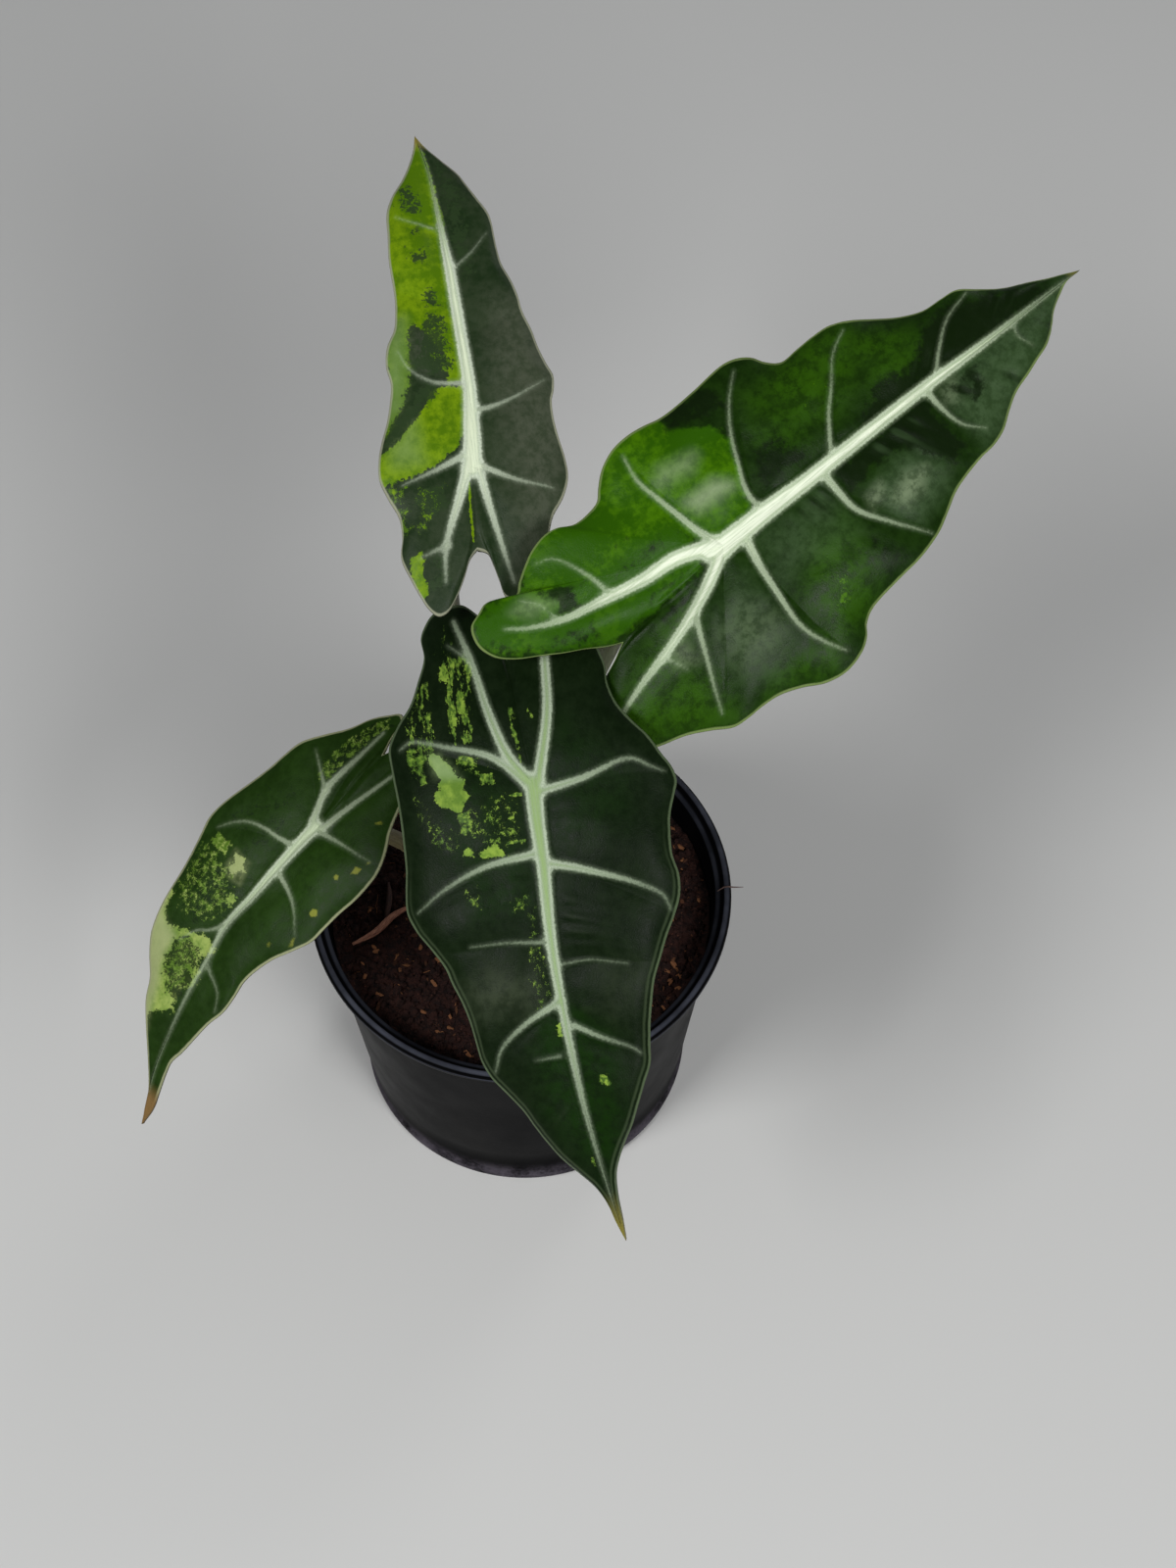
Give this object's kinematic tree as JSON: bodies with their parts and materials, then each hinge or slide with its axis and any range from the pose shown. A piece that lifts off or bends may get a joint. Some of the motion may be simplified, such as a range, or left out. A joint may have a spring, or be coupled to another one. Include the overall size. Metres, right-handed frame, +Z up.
{
  "type": "potted alocasia plant",
  "caption": "Potted aroid house plant with arrow-shaped, pale-veined leaves splashed with lime on slender stalks, in a round tapered nursery pot of crumbly soil.",
  "frame": {"origin": "on the pot's axis at the underside of the pot", "axes": "+Z up along the pot axis; -Y towards the side the picture was taken from, where the dark leaf hangs; +X to its right"},
  "size_m": [0.2462, 0.2593, 0.2555],
  "materials": {
    "pot_plastic": "satin black, scuffed pale at the foot",
    "soil": "matte, dark brown crumbs with tan bits",
    "dry_sheath": "dry, matte",
    "leaf_back": "waxy, yellow-green half and grey-green half",
    "leaf_right": "glossy green with lime patches",
    "leaf_front": "waxy dark green with lime specks",
    "leaf_left": "waxy mid green with cream specks",
    "petiole": "smooth, satin, greenish tan"
  },
  "bodies": {
    "root": {"pot": "pot_plastic", "soil": "soil", "dry_sheath": "dry_sheath", "leaf_back": "leaf_back", "leaf_right": "leaf_right", "leaf_front": "leaf_front", "leaf_left": "leaf_left", "petiole_back": "petiole", "petiole_right": "petiole", "petiole_front": "petiole", "petiole_left": "petiole"}
  },
  "joints": []
}
